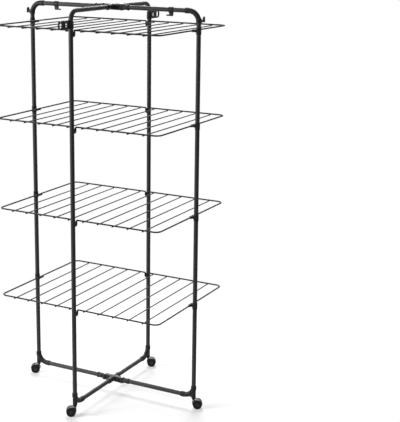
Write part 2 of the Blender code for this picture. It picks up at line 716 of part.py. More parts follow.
def build():
    clear_scene()
    make_collection(PART_COLLECTION)
    make_collection(CUTTER_COLLECTION)
    enamel = make_material("tube_enamel", (0.030, 0.031, 0.033), 0.45, 0.0)
    wire_coat = make_material("wire_enamel", (0.022, 0.022, 0.024), 0.50, 0.0)
    plastic = make_material("fitting_plastic", (0.020, 0.020, 0.021), 0.55, 0.0)
    steel = make_material("pin_steel", (0.45, 0.45, 0.46), 0.35, 1.0)
    tyre = make_material("wheel_plastic", (0.012, 0.012, 0.013), 0.60, 0.0)

    tiers = [TOP_TIER_HEIGHT - i * TIER_SPACING for i in range(TIER_COUNT)]
    half_turn = math.pi
    quarter = math.pi / 2

    # Centre frame
    put("centre_frame_tube", bent_centre_tube(), enamel)
    inside = CENTRE_POST_REACH - BAR_TUBE_STOP
    base_bar = bar_tube("centre_base_tube", (0.0, -inside, BASE_BAR_HEIGHT), inside * 2, (0.0, 1.0, 0.0))
    put("centre_base_tube", base_bar, enamel)
    foot_elbow = elbow("foot_elbow", 1, castor_boss)
    top_elbow = elbow("top_elbow", -1, elbow_hook)
    bracket = pivot_bracket()
    holder = hanger_holder()
    for end, y, facing in (("front", -CENTRE_POST_REACH, 0.0), ("back", CENTRE_POST_REACH, half_turn)):
        foot = (0.0, y, BASE_BAR_HEIGHT)
        put("centre_foot_elbow_" + end, foot_elbow, plastic, foot, facing - quarter)
        for i, height in enumerate(tiers):
            place = (0.0, y, height - WING_DROP)
            put(f"wing_bracket_{end}_{i + 1}", bracket, plastic, place, facing)
        place = (0.0, y, TOP_BAR_HEIGHT - HOLDER_DROP)
        put("hanger_holder_" + end, holder, plastic, place, facing - quarter)
    hub = hinge_hub()
    put("hinge_hub_top", hub, plastic, (0.0, 0.0, TOP_BAR_HEIGHT))
    put("hinge_hub_base", hub, plastic, (0.0, 0.0, BASE_BAR_HEIGHT))

    # Side frames
    pin = hinge_pin()
    sleeve = hinge_sleeve()
    clip = rail_clip()
    hook = bar_hook()
    post_low = BASE_BAR_HEIGHT + POST_TUBE_STOP
    post_high = TOP_BAR_HEIGHT - POST_TUBE_STOP
    side_post = combined("side_post", straight_tube("side_post", post_high - post_low))
    bar_end = LEAF_REACH - BAR_TUBE_STOP
    side_bar = bar_tube("side_bar", (HINGE_TUBE_START, 0.0, 0.0), bar_end - HINGE_TUBE_START, (1.0, 0.0, 0.0))
    hood = castor_hood()
    wheels = castor_wheels()

    def castor(label, place, angle, parent=None):
        swivel = empty(f"castor_{label}_axis", place, angle, parent)
        put("castor_hood_" + label, hood, plastic, parent=swivel)
        put("castor_wheels_" + label, wheels, tyre, (CASTOR_TRAIL, 0.0, AXLE_HEIGHT), parent=swivel)

    for side, x, facing in (("right", HINGE_REACH, 0.0), ("left", -HINGE_REACH, half_turn)):
        axis = empty(f"side_frame_{side}_axis", (x, 0.0, 0.0), facing)
        put("side_post_" + side, side_post, enamel, (LEAF_REACH, 0.0, post_low), parent=axis)
        for level, height in (("top", TOP_BAR_HEIGHT), ("base", BASE_BAR_HEIGHT)):
            put(f"side_{level}_bar_{side}", side_bar, enamel, (0.0, 0.0, height), parent=axis)
            put(f"hinge_sleeve_{level}_{side}", sleeve, plastic, (0.0, 0.0, height), parent=axis)
            put(f"hinge_pin_{level}_{side}", pin, steel, (x, 0.0, height))
        corner = (LEAF_REACH, 0.0, BASE_BAR_HEIGHT)
        put("side_foot_elbow_" + side, foot_elbow, plastic, corner, parent=axis)
        corner = (LEAF_REACH, 0.0, TOP_BAR_HEIGHT)
        put("side_top_elbow_" + side, top_elbow, plastic, corner, parent=axis)
        place = (LEAF_REACH - BAR_HOOK_FROM_POST, 0.0, TOP_BAR_HEIGHT)
        put("bar_hook_" + side, hook, plastic, place, parent=axis)
        for i, height in enumerate(tiers):
            put(f"rail_clip_{side}_{i + 1}", clip, plastic, (LEAF_REACH, 0.0, height), parent=axis)
        castor(side, (LEAF_REACH, 0.0, 0.0), CASTOR_REST_ANGLE, axis)
    castor("front", (0.0, -CENTRE_POST_REACH, 0.0), CASTOR_REST_ANGLE + half_turn)
    castor("back", (0.0, CENTRE_POST_REACH, 0.0), CASTOR_REST_ANGLE)

    # Wings
    wing_mesh = wing()
    for side, x, facing in (("right", WING_PIVOT_OFFSET, 0.0), ("left", -WING_PIVOT_OFFSET, half_turn)):
        for i, height in enumerate(tiers):
            axis = empty(f"wing_{side}_{i + 1}_axis", (x, 0.0, height - WING_DROP), facing)
            put(f"wing_{side}_{i + 1}", wing_mesh, wire_coat, parent=axis)

    bpy.context.view_layer.update()


build()
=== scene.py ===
# %% [markdown]
# # A tower clothes airer, dressed for its portrait
#
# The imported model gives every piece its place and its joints, but its tubes have flat sides and one plain colour.
# This lesson puts a finely shaped, finely finished piece over each of them: powder-coated tubes, coated wire wings,
# moulded plastic fittings and twin-wheel castors. Nothing here changes a size. Each new piece takes the place of
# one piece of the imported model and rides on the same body, so it still folds and rolls.

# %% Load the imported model
import json
import math
import bmesh
import bpy
from mathutils import Matrix, Vector


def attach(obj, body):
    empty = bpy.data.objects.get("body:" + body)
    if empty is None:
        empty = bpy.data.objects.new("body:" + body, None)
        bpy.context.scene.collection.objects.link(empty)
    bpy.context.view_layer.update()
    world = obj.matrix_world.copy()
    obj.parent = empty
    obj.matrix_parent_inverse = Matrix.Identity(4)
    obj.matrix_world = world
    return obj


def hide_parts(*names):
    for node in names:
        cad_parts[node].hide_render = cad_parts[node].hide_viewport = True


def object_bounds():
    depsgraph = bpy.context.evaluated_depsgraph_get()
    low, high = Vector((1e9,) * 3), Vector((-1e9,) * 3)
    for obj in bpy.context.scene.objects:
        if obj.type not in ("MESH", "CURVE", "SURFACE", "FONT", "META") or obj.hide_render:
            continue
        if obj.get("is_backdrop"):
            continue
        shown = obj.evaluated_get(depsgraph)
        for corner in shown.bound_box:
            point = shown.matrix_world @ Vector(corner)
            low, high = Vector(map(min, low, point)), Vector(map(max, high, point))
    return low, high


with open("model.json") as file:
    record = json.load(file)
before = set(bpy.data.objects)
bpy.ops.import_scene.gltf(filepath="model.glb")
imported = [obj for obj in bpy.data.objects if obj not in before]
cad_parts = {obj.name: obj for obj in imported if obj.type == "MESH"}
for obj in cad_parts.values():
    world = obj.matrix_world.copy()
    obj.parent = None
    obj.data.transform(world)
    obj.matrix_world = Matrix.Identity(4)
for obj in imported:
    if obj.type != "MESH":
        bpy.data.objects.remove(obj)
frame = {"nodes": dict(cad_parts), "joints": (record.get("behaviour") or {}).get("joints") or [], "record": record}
cad_low, cad_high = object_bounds()
record = frame["record"]
joints = {joint["name"]: joint for joint in frame["joints"]}
body_of_node = {node: body for body, nodes in record["behaviour"]["bodies"].items() for node in nodes}
print(len(frame["nodes"]), "pieces and", len(joints), "joints; the tower is", round(cad_high.z, 3), "m tall")

# %% [markdown]
# ## The sizes that the pieces share
#
# A real airer is drawn from a few sizes: the tube, the wire, where the posts stand and how far apart the tiers are.
# The joints already hold most of the places, so those are read from the model. The rest are written down once, in
# metres, and every piece below is worked out from them.

# %% Places that the joints give
hinge_reach = joints["side_frame_right_fold"]["pos_m"][0]
wing_pivot = joints["wing_right_1_fold"]["pos_m"][0]
wing_axis_heights = [joints[f"wing_right_{i}_fold"]["pos_m"][2] for i in range(1, 5)]
side_reach = joints["castor_right_swivel"]["pos_m"][0]
centre_reach = joints["castor_back_swivel"]["pos_m"][1]
axle_height = joints["castor_back_roll"]["pos_m"][2]
leaf = side_reach - hinge_reach
print("the posts stand", side_reach, "and", centre_reach, "m from the middle")

# %% Sizes that more than one piece needs
seat_gap, running_gap = 0.0003, 0.0008
tube, fitting_wall = 0.0095, 0.0020
socket = tube + seat_gap
fitting = socket + fitting_wall

crank, bar_above_tier = 0.015, 0.078
tier_heights = [height + crank for height in wing_axis_heights]
top_bar, base_bar = tier_heights[0] + bar_above_tier, 0.056

post_leg, bar_leg, seat = 0.048, 0.062, 0.010
elbow_bend, elbow_radius, collar_step, collar_length = 0.046, 0.0110, 0.0010, 0.018
collar = elbow_radius + collar_step

cheek, cheek_thick, hub_half, hub_radius = 0.0115, 0.003, 0.0125, 0.0129
sleeve_length, sleeve_socket = 0.023, 0.017
sleeve_start = cheek + running_gap + cheek_thick / 2
sleeve_end = sleeve_start + sleeve_length
print("tiers at", [round(height, 3) for height in tier_heights], "bars at", base_bar, round(top_bar, 3))

# %% [markdown]
# ## Shader sums in plain Python
#
# A material's maths reads best as a sum, such as `0.35 + 0.1 * cloud`. A small class wraps a shader socket and
# turns each operator into a Math node. The reflected forms are there too, so that `1 - mask` works. Every other node
# comes from one method: its settings go in first, because they decide which sockets it has.

# %% The socket class
class Value:
    """A shader socket that can stand in a Python sum."""

    def __init__(self, recipe, socket):
        self.recipe = recipe
        self.socket = socket

    def sum(self, operation, first, second):
        """A Math node on two values."""
        return self.recipe.node("ShaderNodeMath", {"operation": operation}, {0: first, 1: second})["Value"]

    def __add__(self, other):
        return self.sum("ADD", self, other)

    def __sub__(self, other):
        return self.sum("SUBTRACT", self, other)

    def __rsub__(self, other):
        return self.sum("SUBTRACT", other, self)

    def __mul__(self, other):
        return self.sum("MULTIPLY", self, other)

    __radd__ = __add__
    __rmul__ = __mul__


print("sums can add, subtract and multiply")

# %% The recipe class
class Recipe:
    """A material or a world, and the nodes that are added to it."""

    def __init__(self, owner):
        self.owner = owner
        owner.use_nodes = True
        self.tree = owner.node_tree
        self.tree.nodes.clear()

    def node(self, kind, settings=None, sockets=None):
        """A new node from its settings and the values or links of its sockets. It gives its outputs by name."""
        made = self.tree.nodes.new(kind)
        for name, value in (settings or {}).items():
            if name == "stops":
                for element, (place, shade) in zip(made.color_ramp.elements, value):
                    element.position = place
                    element.color = (shade, shade, shade, 1.0)
            else:
                setattr(made, name, value)
        for name, value in (sockets or {}).items():
            if isinstance(value, Value):
                self.tree.links.new(value.socket, made.inputs[name])
            else:
                made.inputs[name].default_value = value
        return {output.identifier: Value(self, output) for output in made.outputs}

    def place(self):
        """Where a point is on the object itself, in metres."""
        return self.node("ShaderNodeTexCoord")["Object"]

    def ramp(self, value, start, end):
        """0 below start, 1 above end, and a steady rise between."""
        stops = [(start, 0.0), (end, 1.0)]
        return self.node("ShaderNodeValToRGB", {"stops": stops}, {"Fac": value})["Color"]

    def noise(self, place, scale, detail=2.0):
        """A soft cloudy pattern between 0 and 1."""
        sockets = {"Vector": place, "Scale": scale, "Detail": detail}
        return self.node("ShaderNodeTexNoise", None, sockets)["Fac"]

    def blend(self, amount, first, second):
        """A colour between two others."""
        factor, first_colour, second_colour = 0, 6, 7
        sockets = {factor: amount, first_colour: first, second_colour: second}
        return self.node("ShaderNodeMix", {"data_type": "RGBA"}, sockets)["Result_Color"]

    def stretched(self, place, factors):
        """The place with each of its three parts multiplied."""
        return self.node("ShaderNodeVectorMath", {"operation": "MULTIPLY"}, {0: place, 1: factors})["Vector"]

    def length(self, place):
        """How far a place is from the object's own middle."""
        return self.node("ShaderNodeVectorMath", {"operation": "LENGTH"}, {0: place})["Value"]

    def bump(self, height, strength, distance):
        """Small relief that only the light sees. The distance is its depth in metres."""
        sockets = {"Strength": strength, "Distance": distance, "Height": height}
        return self.node("ShaderNodeBump", None, sockets)["Normal"]

    def surface(self, sockets):
        """The finished material, from the sockets of its main shader."""
        shader = self.node("ShaderNodeBsdfPrincipled", None, sockets)["BSDF"]
        self.node("ShaderNodeOutputMaterial", None, {"Surface": shader})
        return self.owner


def grey(shade, warmth=0.0):
    """A grey, a little redder with more warmth."""
    return (shade * (1 + warmth), shade, shade * (1 - warmth), 1.0)


print("a dusty grey is", [round(part, 3) for part in grey(0.20, warmth=0.04)])

# %% [markdown]
# ## Dust
#
# A little pale dust lies on what faces up. It could be painted on by hand, piece by piece. Here the surface's own
# direction says how far it faces up, and a noise breaks the dust into patches, so any shape gets it by itself. Each
# finish below takes its own share.

# %% Dust
def dust_on(recipe, place, scale, start, end):
    """Where dust has settled: 0 for none and 1 for most."""
    facing = recipe.node("ShaderNodeNewGeometry")["Normal"]
    upward = recipe.node("ShaderNodeSeparateXYZ", None, {"Vector": facing})["Z"]
    return recipe.ramp(upward * recipe.noise(place, scale, detail=5.0), start, end)


print("the dust mask is ready")

# %% [markdown]
# ## Powder coat on the tubes
#
# The tubes are steel with an anthracite powder coat, baked on. Up close such a coat has orange peel: low soft bumps
# about a millimetre apart, which break up the reflections a little. A picture of the coat would need seams on a bent
# tube. Two noises need none: a fine one for the peel, and a broad one for the drift in gloss from the spray gun.
# The coat is dark and mirrors little, so its specular level is low.

# %% Powder coat
plain_specular = 0.14


def powder_coat(name, shade, gloss, peel_scale, peel_depth):
    """Baked powder on metal. A higher gloss value is a duller coat."""
    recipe = Recipe(bpy.data.materials.new(name))
    place = recipe.place()
    peel = recipe.noise(place, peel_scale, detail=3.0)
    drift = recipe.noise(place, scale=6.0, detail=4.0)
    dust = dust_on(recipe, place, scale=45.0, start=0.30, end=0.75)
    colour = recipe.blend(drift, grey(shade * 0.88), grey(shade * 1.14))
    colour = recipe.blend(dust * 0.10, colour, grey(0.20, warmth=0.04))
    return recipe.surface({
        "Base Color": colour,
        "Roughness": gloss + 0.12 * drift + 0.05 * peel + 0.12 * dust,
        "Specular IOR Level": plain_specular,
        "Normal": recipe.bump(peel, strength=0.35, distance=peel_depth),
    })


tube_coat = powder_coat("tube_powder_coat", shade=0.045, gloss=0.32, peel_scale=900.0, peel_depth=0.00012)
wire_coat = powder_coat("wire_powder_coat", shade=0.014, gloss=0.40, peel_scale=1400.0, peel_depth=0.00008)
print("made", tube_coat.name, "and", wire_coat.name)

# %% [markdown]
# ## Moulded plastic
#
# Elbows, hubs, clips and castor hoods are black polypropylene. A mould leaves a fine matt grain, and handling
# polishes the edges. The grain is a pattern of cells under half a millimetre, which is closer to an etched mould
# than a soft noise is. Pointiness tells where the surface turns sharply, and there the plastic is a touch paler and
# smoother. The hubs and their sleeves get a paler copy of the same plastic, which is painted light from above.

# %% Moulded plastic
def moulded_plastic(name, shade, gloss, grain_scale=2600.0):
    """Black plastic with a matt grain and polished edges."""
    recipe = Recipe(bpy.data.materials.new(name))
    place = recipe.place()
    grain_sockets = {"Vector": place, "Scale": grain_scale}
    grain = recipe.node("ShaderNodeTexVoronoi", {"feature": "F1"}, grain_sockets)["Distance"]
    flow = recipe.noise(place, scale=28.0, detail=4.0)
    edge = recipe.ramp(recipe.node("ShaderNodeNewGeometry")["Pointiness"], start=0.52, end=0.60)
    dust = dust_on(recipe, place, scale=70.0, start=0.28, end=0.70)
    colour = recipe.blend(flow, grey(shade * 0.85), grey(shade * 1.15))
    colour = recipe.blend(edge * 0.35, colour, grey(shade * 2.6))
    colour = recipe.blend(dust * 0.12, colour, grey(0.22, warmth=0.04))
    return recipe.surface({
        "Base Color": colour,
        "Roughness": gloss + 0.14 * flow - 0.08 * edge + 0.10 * dust,
        "Specular IOR Level": plain_specular,
        "Normal": recipe.bump(grain, strength=0.30, distance=0.00008),
    })


fitting_plastic = moulded_plastic("fitting_plastic", shade=0.017, gloss=0.40)
hood_plastic = moulded_plastic("hood_plastic", shade=0.034, gloss=0.36, grain_scale=2200.0)
# Painted light: a paler copy of the black plastic for the hubs and their sleeves, as if lit from above.
hub_plastic = moulded_plastic("hub_plastic", shade=0.030, gloss=0.38)
print("made", fitting_plastic.name, hood_plastic.name, "and", hub_plastic.name)

# %% [markdown]
# ## Wheels and pins
#
# A wheel is the same plastic, but its tread has picked up grey dust from the floor and is scuffed, and its middle
# is drawn paler, a painted highlight where the face catches the light. Three materials on one wheel would meet in
# hard lines, so one material looks at the distance from the axle instead: the wheel's own Y axis. The hinge pins and
# the castors' stem rings are bright zinc, turned on a lathe, which shows as fine rings in the roughness.

# %% Wheel plastic
def wheel_plastic(name, shade, radius):
    """A wheel's plastic, with a scuffed tread and a paler middle that is a painted highlight."""
    recipe = Recipe(bpy.data.materials.new(name))
    place = recipe.place()
    share = recipe.length(recipe.stretched(place, (1.0, 0.0, 1.0))) * (1 / radius)
    tread = recipe.ramp(share, start=0.93, end=0.985)
    # Painted highlight: the middle of the wheel's face is drawn paler, as if it caught the light.
    painted_highlight = 1 - recipe.ramp(share, start=0.38, end=0.42)
    scuff = recipe.noise(place, scale=420.0, detail=6.0)
    flow = recipe.noise(place, scale=40.0, detail=3.0)
    colour = recipe.blend(flow, grey(shade * 0.85), grey(shade * 1.2))
    colour = recipe.blend(tread * scuff * 0.35, colour, grey(0.16, warmth=0.05))
    # The painted highlight goes into the colour here.
    colour = recipe.blend(painted_highlight * 0.8, colour, grey(0.045))
    return recipe.surface({
        "Base Color": colour,
        "Roughness": 0.42 + 0.22 * tread + 0.12 * scuff,
        "Specular IOR Level": plain_specular,
        "Normal": recipe.bump(scuff, strength=0.30, distance=0.0001),
    })


wheel_coat = wheel_plastic("wheel_plastic", shade=0.012, radius=axle_height)
print("made", wheel_coat.name, "for a wheel of", axle_height, "m radius")

# %% Zinc
def zinc(name):
    """Bright zinc with fine turned rings."""
    recipe = Recipe(bpy.data.materials.new(name))
    place = recipe.place()
    rings = recipe.noise(recipe.stretched(place, (300.0, 300.0, 4000.0)), scale=1.0)
    spangle = recipe.noise(place, scale=800.0)
    return recipe.surface({
        "Base Color": recipe.blend(spangle, grey(0.36, warmth=0.01), grey(0.52, warmth=0.01)),
        "Metallic": 1.0,
        "Roughness": 0.26 + 0.16 * rings,
    })


pin_zinc = zinc("pin_zinc")
print("made", pin_zinc.name)

# %% [markdown]
# ## Tools for shapes
#
# Three tools make almost every piece. `rod` sweeps a round section along a path, which suits tubes, wires and hooks.
# `plate` fills a flat outline and gives it a thickness and rounded edges, which suits plates with slots. `moulded`
# takes several simple shapes that overlap and melts them into one skin with the Remesh modifier, which leaves
# the soft inner corners of a real moulding.

# %% Paths
def path(corners, bends, step=math.radians(6)):
    """The corners as points, with each inner one turned into an arc of its bend's radius."""
    points = [Vector(corners[0])]
    for before, corner, after, radius in zip(corners, corners[1:], corners[2:], bends):
        corner = Vector(corner)
        back = (Vector(before) - corner).normalized()
        ahead = (Vector(after) - corner).normalized()
        half = back.angle(ahead) / 2
        centre = corner + (back + ahead).normalized() * radius / math.sin(half)
        arm = corner + back * radius / math.tan(half) - centre
        sweep = math.pi - 2 * half
        count = max(3, round(sweep / step))
        axis = ahead.cross(back)
        points += [centre + Matrix.Rotation(sweep * i / count, 3, axis) @ arm for i in range(count + 1)]
    return points + [Vector(corners[-1])]


print("one bend takes", len(path([(1, 0, 0), (0, 0, 0), (0, 1, 0)], [0.5])) - 2, "points")

# %% Objects and rods
def linked(name, data):
    """A new object in the scene."""
    item = bpy.data.objects.new(name, data)
    bpy.context.scene.collection.objects.link(item)
    return item


def baked(item, name):
    """The mesh of an object with its modifiers. The object itself is removed."""
    bpy.context.view_layer.update()
    evaluated = item.evaluated_get(bpy.context.evaluated_depsgraph_get())
    mesh = bpy.data.meshes.new_from_object(evaluated)
    mesh.transform(item.matrix_world)
    mesh.name = name
    bpy.data.objects.remove(item, do_unlink=True)
    return mesh


def rod(points, radius, sides=28):
    """A mesh of a round rod with closed ends."""
    curve = bpy.data.curves.new("rod", "CURVE")
    curve.dimensions = "3D"
    curve.bevel_depth = radius
    curve.bevel_resolution = (sides - 4) // 2
    curve.use_fill_caps = True
    line = curve.splines.new("POLY")
    line.points.add(len(points) - 1)
    for knot, place in zip(line.points, points):
        knot.co = (*place, 1.0)
    return baked(linked("rod", curve), "rod")


sample = rod([(0, 0, 0), (0, 0, 0.1)], tube)
print("a rod of", len(sample.polygons), "faces")

# %% Plates
def plate(outlines, thickness, edge):
    """A mesh from flat outlines in X and Z, the inner ones holes, with rounded edges."""
    curve = bpy.data.curves.new("plate", "CURVE")
    curve.dimensions = "2D"
    curve.fill_mode = "BOTH"
    curve.extrude = thickness / 2 - edge
    curve.bevel_depth = edge
    curve.bevel_resolution = 2
    curve.offset = -edge
    for outline in outlines:
        line = curve.splines.new("POLY")
        line.points.add(len(outline) - 1)
        for knot, (across, up) in zip(line.points, outline):
            knot.co = (across, up, 0.0, 1.0)
        line.use_cyclic_u = True
    item = linked("plate", curve)
    item.rotation_euler = (math.pi / 2, 0.0, 0.0)
    return baked(item, "plate")


square = [(0, 0), (0.1, 0), (0.1, 0.1), (0, 0.1)]
print("a plate of", len(plate([square], 0.01, 0.001).polygons), "faces")

# %% Drums and blocks
along_x, along_y, upwards, downwards = (1, 0, 0), (0, 1, 0), (0, 0, 1), (0, 0, -1)


def drum(radius, start, end, axis, centre=(0, 0, 0), edge=0.0006, sides=40):
    """A mesh of a round drum with rounded rims, from start to end along an axis."""
    body = bmesh.new()
    bmesh.ops.create_cone(body, cap_ends=True, segments=sides, radius1=radius, radius2=radius, depth=end - start)
    rims = [e for e in body.edges if abs(e.verts[0].co.z - e.verts[1].co.z) < 1e-7]
    bmesh.ops.bevel(body, geom=rims, offset=edge, segments=3, profile=0.5, affect="EDGES")
    turn = Vector(upwards).rotation_difference(Vector(axis)).to_matrix().to_4x4()
    shift = Matrix.Translation(Vector(centre) + Vector(axis) * (start + end) / 2)
    bmesh.ops.transform(body, matrix=shift @ turn, verts=body.verts)
    mesh = bpy.data.meshes.new("drum")
    body.to_mesh(mesh)
    body.free()
    return mesh


def block(low, high, edge=0.0006):
    """A mesh of a box with rounded edges."""
    body = bmesh.new()
    size = Vector(high) - Vector(low)
    middle = (Vector(high) + Vector(low)) / 2
    matrix = Matrix.Translation(middle) @ Matrix.Diagonal((*size, 1.0))
    bmesh.ops.create_cube(body, size=1.0, matrix=matrix)
    bmesh.ops.bevel(body, geom=body.edges, offset=edge, segments=2, profile=0.5, affect="EDGES")
    mesh = bpy.data.meshes.new("block")
    body.to_mesh(mesh)
    body.free()
    return mesh


print("a drum of", len(drum(collar, 0, collar_length, upwards).polygons), "faces")

# %% Joined shapes and mouldings
def together(name, meshes, material, sharp_from=math.radians(38)):
    """Several meshes as one, with one material and smooth shading between its sharp edges."""
    body = bmesh.new()
    for mesh in meshes:
        body.from_mesh(mesh)
    joined = bpy.data.meshes.new(name)
    body.to_mesh(joined)
    body.free()
    joined.materials.append(material)
    joined.shade_smooth()
    joined.set_sharp_from_angle(angle=sharp_from)
    return joined


def moulded(name, meshes, material, voxel=0.00085):
    """Overlapping shapes melted into one skin, as a mould would form them."""
    item = linked(name, together(name, meshes, material))
    skin = item.modifiers.new("skin", "REMESH")
    skin.mode = "VOXEL"
    skin.voxel_size = voxel
    ease = item.modifiers.new("ease", "SMOOTH")
    ease.factor = 0.5
    ease.iterations = 2
    mesh = baked(item, name)
    mesh.shade_smooth()
    mesh.materials.clear()
    mesh.materials.append(material)
    return mesh


print("the shape tools are ready")

# %% [markdown]
# ## Putting a piece in place
#
# Each new piece stands for one piece of the imported model. Its body is looked up by that piece's name, so a
# shape only has to say where it stands and how far it is turned about the vertical.

# %% Dress a node
half_turn, quarter = math.pi, math.pi / 2


def stand(x, y, z, turn=0.0):
    """A place, and a turn about the vertical."""
    return Matrix.Translation((x, y, z)) @ Matrix.Rotation(turn, 4, "Z")


def dress(node, mesh, matrix):
    """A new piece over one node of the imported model."""
    piece = linked("fine_" + node, mesh)
    piece.matrix_world = matrix
    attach(piece, body_of_node[node])
    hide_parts(node)


hinges = {"right": stand(hinge_reach, 0, 0), "left": stand(-hinge_reach, 0, 0, half_turn)}
signs = {"right": 1, "left": -1}
ends = {"front": (-1, 0.0), "back": (1, half_turn)}
print("sides", list(hinges), "and ends", list(ends))

# %% [markdown]
# ## The tubes
#
# The centre frame is one tube bent to an upside-down U. A curve with handles would be quick to draw, but it only
# comes near the true arc that a bender leaves, so the path is made of straight runs and arcs. The side frames' posts
# and bars are straight, and their ends sit inside the elbows.

# %% Centre frame tube and base tube
frame_bend, tube_sides = 0.040, 36
foot = base_bar + post_leg - seat
corners = [
    (0, -centre_reach, foot), (0, -centre_reach, top_bar), (0, centre_reach, top_bar), (0, centre_reach, foot),
]
frame_rod = rod(path(corners, [frame_bend, frame_bend]), tube, tube_sides)
frame_mesh = together("centre_frame_tube_fine", [frame_rod], tube_coat)
dress("centre_frame_tube", frame_mesh, Matrix.Identity(4))
inner = centre_reach - bar_leg + seat
base_rod = rod([(0, -inner, 0), (0, inner, 0)], tube, tube_sides)
dress("centre_base_tube", together("centre_base_tube_fine", [base_rod], tube_coat), stand(0, 0, base_bar))
print("the centre frame has", len(frame_mesh.polygons), "faces")

# %% Side posts and bars
post_high = top_bar - post_leg + seat
post_mesh = together("side_post_fine", [rod([(0, 0, foot), (0, 0, post_high)], tube, tube_sides)], tube_coat)
bar_start = sleeve_end - sleeve_socket + seat_gap
bar_rod = rod([(bar_start, 0, 0), (leaf - bar_leg + seat, 0, 0)], tube, tube_sides)
bar_mesh = together("side_bar_fine", [bar_rod], tube_coat)
for side, hinge in hinges.items():
    dress("side_post_" + side, post_mesh, hinge @ stand(leaf, 0, 0))
    dress("side_top_bar_" + side, bar_mesh, hinge @ stand(0, 0, top_bar))
    dress("side_base_bar_" + side, bar_mesh, hinge @ stand(0, 0, base_bar))
print("posts from", round(foot, 3), "to", round(post_high, 3))

# %% [markdown]
# ## The elbows
#
# An elbow is a bent sleeve with a thicker collar at each mouth. The foot elbow has a boss below for the castor's
# stem, and the top one has an upturned hook outside for a coat hanger. Sweeping the bend and melting the collars, the
# boss and the hook into it gives the soft transitions of a real moulding, which stacked cylinders wouldn't have.

# %% Foot elbows
def elbow_shapes(rise):
    """The sleeve and its two collars. The post's leg points up for a rise of 1 and down for -1."""
    corners = [(0, 0, rise * post_leg), (0, 0, 0), (-bar_leg, 0, 0)]
    return [
        rod(path(corners, [elbow_bend]), elbow_radius),
        drum(collar, post_leg - collar_length, post_leg, (0, 0, rise)),
        drum(collar, bar_leg - collar_length, bar_leg, (-1, 0, 0)),
    ]


boss_radius, boss_top, boss_foot, boss_edge = 0.0100, 0.030, 0.0085, 0.0010
lip_radius, boss_drop = 0.0068, 0.0145
boss = drum(boss_radius, -boss_top, boss_foot, downwards, edge=boss_edge)
boss_lip = drum(lip_radius, 0.0, boss_drop, downwards)
web_long, web_thick_half, web_low, web_high = 0.020, 0.0012, -0.006, 0.022
web = block((-web_long, -web_thick_half, web_low), (0.0, web_thick_half, web_high))
foot_elbow = moulded("foot_elbow_fine", elbow_shapes(1) + [boss, boss_lip, web], fitting_plastic)
for end, (sign, facing) in ends.items():
    dress("centre_foot_elbow_" + end, foot_elbow, stand(0, sign * centre_reach, base_bar, facing - quarter))
for side, hinge in hinges.items():
    dress("side_foot_elbow_" + side, foot_elbow, hinge @ stand(leaf, 0, base_bar))
print("the foot elbow's skin has", len(foot_elbow.polygons), "faces")

# %% Top elbows and their hooks
hook_low, hook_high, hook_out, hook_wide, hook_thick, hook_edge = -0.044, -0.020, 0.025, 0.009, 0.0045, 0.0015
head_height = hook_high - hook_wide
stub_from, stub_half, stub_tall, stub_sink, stub_edge = 0.006, 0.006, 0.010, 0.001, 0.002
hook = [
    block((stub_from, -stub_half, hook_low), (hook_out - stub_sink, stub_half, hook_low + stub_tall), stub_edge),
    drum(hook_wide, 0, hook_thick, along_x, (hook_out - hook_thick, 0, head_height), hook_edge),
    block((hook_out - hook_thick, -hook_wide, hook_low), (hook_out, hook_wide, head_height), hook_edge),
]
top_elbow = moulded("top_elbow_fine", elbow_shapes(-1) + hook, fitting_plastic)
for side, hinge in hinges.items():
    dress("side_top_elbow_" + side, top_elbow, hinge @ stand(leaf, 0, top_bar))
print("the top elbow's skin has", len(top_elbow.polygons), "faces")

# %% [markdown]
# ## The folding hubs
#
# Where the frames cross, a hub is clamped on the centre tube. It has a fork to each side, and the side frame's
# sleeve ends in a knuckle that turns in the fork on a zinc pin. The fork could be cut out of a block. Building it
# from its two cheeks is surer, and leaves it open between them, so that the knuckle shows and stays clear when the
# frame swings.

# %% Hubs
arm, hub_long, hub_waist, hub_lip = 0.009, 0.042, 0.0009, 0.006
arm_overlap, arm_edge, prong_edge, cheek_edge = 0.004, 0.0012, 0.0004, 0.0005
open_from = hinge_reach - cheek - running_gap
hub_shapes = [
    drum(hub_radius - hub_waist, -hub_long, hub_long, along_y),
    drum(hub_radius, -hub_long, -hub_long + hub_lip, along_y),
    drum(hub_radius, hub_long - hub_lip, hub_long, along_y),
    block((-open_from, -arm, -hub_half), (open_from, arm, hub_half), arm_edge),
]
for sign in (-1, 1):
    for level in (-1, 1):
        low, high = sorted((level * (hub_half - cheek_thick), level * hub_half))
        near, far = sorted((sign * (open_from - arm_overlap), sign * hinge_reach))
        hub_shapes.append(block((near, -arm, low), (far, arm, high), prong_edge))
        hub_shapes.append(drum(cheek, low, high, upwards, (sign * hinge_reach, 0, 0), cheek_edge))
hub_mesh = moulded("hinge_hub_fine", hub_shapes, hub_plastic, voxel=0.0008)
for level, height in (("top", top_bar), ("base", base_bar)):
    dress("hinge_hub_" + level, hub_mesh, stand(0, 0, height))
print("the hub's skin has", len(hub_mesh.polygons), "faces")

# %% Hinge sleeves
knuckle_radius, knuckle_play, knuckle_edge = 0.0096, 0.0006, 0.001
tongue, tongue_overlap = 0.0078, 0.005
sleeve_waist, sleeve_lip, lip_length = 0.0005, 0.0010, 0.005
knuckle = hub_half - cheek_thick - knuckle_play
sleeve_shapes = [
    drum(knuckle_radius, -knuckle, knuckle, upwards, edge=knuckle_edge),
    block((0, -tongue, -knuckle), (sleeve_start + tongue_overlap, tongue, knuckle), knuckle_edge),
    drum(fitting - sleeve_waist, sleeve_start, sleeve_end, along_x),
    drum(fitting + sleeve_lip, sleeve_end - lip_length, sleeve_end, along_x),
]
sleeve_mesh = moulded("hinge_sleeve_fine", sleeve_shapes, hub_plastic, voxel=0.00075)
for level, height in (("top", top_bar), ("base", base_bar)):
    for side, hinge in hinges.items():
        dress(f"hinge_sleeve_{level}_{side}", sleeve_mesh, hinge @ stand(0, 0, height))
print("the sleeve's skin has", len(sleeve_mesh.polygons), "faces")

